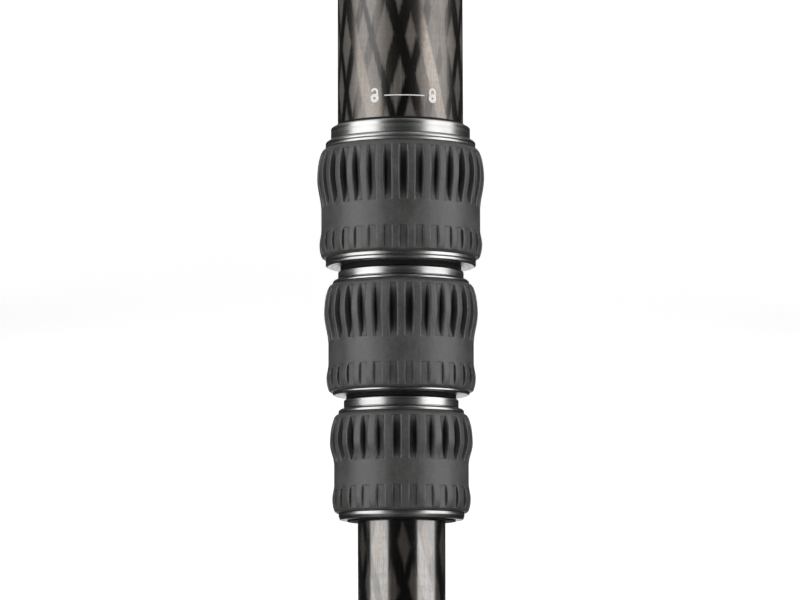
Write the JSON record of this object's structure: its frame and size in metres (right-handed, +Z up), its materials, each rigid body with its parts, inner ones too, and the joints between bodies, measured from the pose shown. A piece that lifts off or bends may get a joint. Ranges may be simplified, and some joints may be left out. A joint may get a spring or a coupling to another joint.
{
  "type": "camera tripod",
  "caption": "Camera tripod without a centre column: carbon legs with rubber-gripped twist locks, angle-stop tabs, a round head platform and a ballast hook.",
  "frame": {"origin": "base of the 3/8 inch head stud, at the centre of the platform's upper face", "axes": "+Z up along the stud; the front leg points along -Y and the other two stand 120 degrees to each side"},
  "size_m": [0.497, 0.435, 0.571],
  "materials": {
    "carbon_tube": "clear-coated wrapped carbon fibre with a dark diamond figure",
    "anodised_metal": "turned aluminium, dark satin anodising",
    "grip_rubber": "moulded matt rubber, dark grey",
    "cast_metal": "die-cast, fine matt black powder coat",
    "platform_metal": "turned aluminium, black anodised",
    "steel": "turned steel, satin",
    "nylon": "black nylon",
    "level_glass": "clear level with yellow-green fluid"
  },
  "bodies": {
    "hub": {"apex": "cast_metal", "platform": "platform_metal", "head_stud": "steel", "grub_screws": "steel", "hinge_bolts": "steel", "hinge_washers": "nylon", "bubble_level": "level_glass", "clamp_nut": "steel", "hook_housing": "platform_metal"},
    "clamp_knob": {"clamp_knob": "nylon"},
    "hook": {"hook": "steel"},
    "front_leg": {"front_leg_top": "cast_metal", "front_tube_1": "carbon_tube", "front_collar_1": "anodised_metal"},
    "front_tab": {"front_angle_tab": "anodised_metal"},
    "front_lock_1": {"front_lock_nut_1": "anodised_metal", "front_lock_grip_1": "grip_rubber"},
    "front_lock_2": {"front_lock_nut_2": "anodised_metal", "front_lock_grip_2": "grip_rubber"},
    "front_lock_3": {"front_lock_nut_3": "anodised_metal", "front_lock_grip_3": "grip_rubber"},
    "front_section_2": {"front_tube_2": "carbon_tube", "front_collar_2": "anodised_metal"},
    "front_section_3": {"front_tube_3": "carbon_tube", "front_collar_3": "anodised_metal"},
    "front_section_4": {"front_tube_4": "carbon_tube", "front_foot": "grip_rubber"},
    "right_leg": {"right_leg_top": "cast_metal", "right_tube_1": "carbon_tube", "right_collar_1": "anodised_metal"},
    "right_tab": {"right_angle_tab": "anodised_metal"},
    "right_lock_1": {"right_lock_nut_1": "anodised_metal", "right_lock_grip_1": "grip_rubber"},
    "right_lock_2": {"right_lock_nut_2": "anodised_metal", "right_lock_grip_2": "grip_rubber"},
    "right_lock_3": {"right_lock_nut_3": "anodised_metal", "right_lock_grip_3": "grip_rubber"},
    "right_section_2": {"right_tube_2": "carbon_tube", "right_collar_2": "anodised_metal"},
    "right_section_3": {"right_tube_3": "carbon_tube", "right_collar_3": "anodised_metal"},
    "right_section_4": {"right_tube_4": "carbon_tube", "right_foot": "grip_rubber"},
    "left_leg": {"left_leg_top": "cast_metal", "left_tube_1": "carbon_tube", "left_collar_1": "anodised_metal"},
    "left_tab": {"left_angle_tab": "anodised_metal"},
    "left_lock_1": {"left_lock_nut_1": "anodised_metal", "left_lock_grip_1": "grip_rubber"},
    "left_lock_2": {"left_lock_nut_2": "anodised_metal", "left_lock_grip_2": "grip_rubber"},
    "left_lock_3": {"left_lock_nut_3": "anodised_metal", "left_lock_grip_3": "grip_rubber"},
    "left_section_2": {"left_tube_2": "carbon_tube", "left_collar_2": "anodised_metal"},
    "left_section_3": {"left_tube_3": "carbon_tube", "left_collar_3": "anodised_metal"},
    "left_section_4": {"left_tube_4": "carbon_tube", "left_foot": "grip_rubber"}
  },
  "joints": [
    {"name": "front_leg_hinge", "type": "hinge", "parent": "hub", "child": "front_leg", "pos_m": [0, -0.044, -0.02], "axis": [-1, 0, 0], "range_deg": [-24.5, 0]},
    {"name": "front_tab_slide", "type": "slide", "parent": "front_leg", "child": "front_tab", "axis": [0, -0.9205, 0.3907], "range_m": [0, 0.006]},
    {"name": "front_lock_1_twist", "type": "hinge", "parent": "front_leg", "child": "front_lock_1", "pos_m": [0, -0.044, -0.02], "axis": [0, -0.3907, -0.9205], "range_deg": [0, 56]},
    {"name": "front_lock_2_twist", "type": "hinge", "parent": "front_section_2", "child": "front_lock_2", "pos_m": [0, -0.044, -0.02], "axis": [0, -0.3907, -0.9205], "range_deg": [0, 56]},
    {"name": "front_lock_3_twist", "type": "hinge", "parent": "front_section_3", "child": "front_lock_3", "pos_m": [0, -0.044, -0.02], "axis": [0, -0.3907, -0.9205], "range_deg": [0, 56]},
    {"name": "front_section_2_slide", "type": "slide", "parent": "front_leg", "child": "front_section_2", "axis": [0, -0.3907, -0.9205], "range_m": [0, 0.357]},
    {"name": "front_section_3_slide", "type": "slide", "parent": "front_section_2", "child": "front_section_3", "axis": [0, -0.3907, -0.9205], "range_m": [0, 0.388]},
    {"name": "front_section_4_slide", "type": "slide", "parent": "front_section_3", "child": "front_section_4", "axis": [0, -0.3907, -0.9205], "range_m": [0, 0.418]},
    {"name": "right_leg_hinge", "type": "hinge", "parent": "hub", "child": "right_leg", "pos_m": [0.03811, 0.022, -0.02], "axis": [0.5, -0.866, 0], "range_deg": [-24.5, 0]},
    {"name": "right_tab_slide", "type": "slide", "parent": "right_leg", "child": "right_tab", "axis": [0.7972, 0.4603, 0.3907], "range_m": [0, 0.006]},
    {"name": "right_lock_1_twist", "type": "hinge", "parent": "right_leg", "child": "right_lock_1", "pos_m": [0.03811, 0.022, -0.02], "axis": [0.3384, 0.1954, -0.9205], "range_deg": [0, 56]},
    {"name": "right_lock_2_twist", "type": "hinge", "parent": "right_section_2", "child": "right_lock_2", "pos_m": [0.03811, 0.022, -0.02], "axis": [0.3384, 0.1954, -0.9205], "range_deg": [0, 56]},
    {"name": "right_lock_3_twist", "type": "hinge", "parent": "right_section_3", "child": "right_lock_3", "pos_m": [0.03811, 0.022, -0.02], "axis": [0.3384, 0.1954, -0.9205], "range_deg": [0, 56]},
    {"name": "right_section_2_slide", "type": "slide", "parent": "right_leg", "child": "right_section_2", "axis": [0.3384, 0.1954, -0.9205], "range_m": [0, 0.357]},
    {"name": "right_section_3_slide", "type": "slide", "parent": "right_section_2", "child": "right_section_3", "axis": [0.3384, 0.1954, -0.9205], "range_m": [0, 0.388]},
    {"name": "right_section_4_slide", "type": "slide", "parent": "right_section_3", "child": "right_section_4", "axis": [0.3384, 0.1954, -0.9205], "range_m": [0, 0.418]},
    {"name": "left_leg_hinge", "type": "hinge", "parent": "hub", "child": "left_leg", "pos_m": [-0.03811, 0.022, -0.02], "axis": [0.5, 0.866, 0], "range_deg": [-24.5, 0]},
    {"name": "left_tab_slide", "type": "slide", "parent": "left_leg", "child": "left_tab", "axis": [-0.7972, 0.4603, 0.3907], "range_m": [0, 0.006]},
    {"name": "left_lock_1_twist", "type": "hinge", "parent": "left_leg", "child": "left_lock_1", "pos_m": [-0.03811, 0.022, -0.02], "axis": [-0.3384, 0.1954, -0.9205], "range_deg": [0, 56]},
    {"name": "left_lock_2_twist", "type": "hinge", "parent": "left_section_2", "child": "left_lock_2", "pos_m": [-0.03811, 0.022, -0.02], "axis": [-0.3384, 0.1954, -0.9205], "range_deg": [0, 56]},
    {"name": "left_lock_3_twist", "type": "hinge", "parent": "left_section_3", "child": "left_lock_3", "pos_m": [-0.03811, 0.022, -0.02], "axis": [-0.3384, 0.1954, -0.9205], "range_deg": [0, 56]},
    {"name": "left_section_2_slide", "type": "slide", "parent": "left_leg", "child": "left_section_2", "axis": [-0.3384, 0.1954, -0.9205], "range_m": [0, 0.357]},
    {"name": "left_section_3_slide", "type": "slide", "parent": "left_section_2", "child": "left_section_3", "axis": [-0.3384, 0.1954, -0.9205], "range_m": [0, 0.388]},
    {"name": "left_section_4_slide", "type": "slide", "parent": "left_section_3", "child": "left_section_4", "axis": [-0.3384, 0.1954, -0.9205], "range_m": [0, 0.418]},
    {"name": "clamp_knob_turn", "type": "hinge", "parent": "hub", "child": "clamp_knob", "pos_m": [0, 0.0465, -0.01875], "axis": [1, 0, 0], "range_deg": [0, 360]},
    {"name": "hook_pull", "type": "slide", "parent": "hub", "child": "hook", "axis": [0, 0, -1], "range_m": [0, 0.008], "stiffness_N_per_m": 250, "springref_m": -0.012}
  ]
}
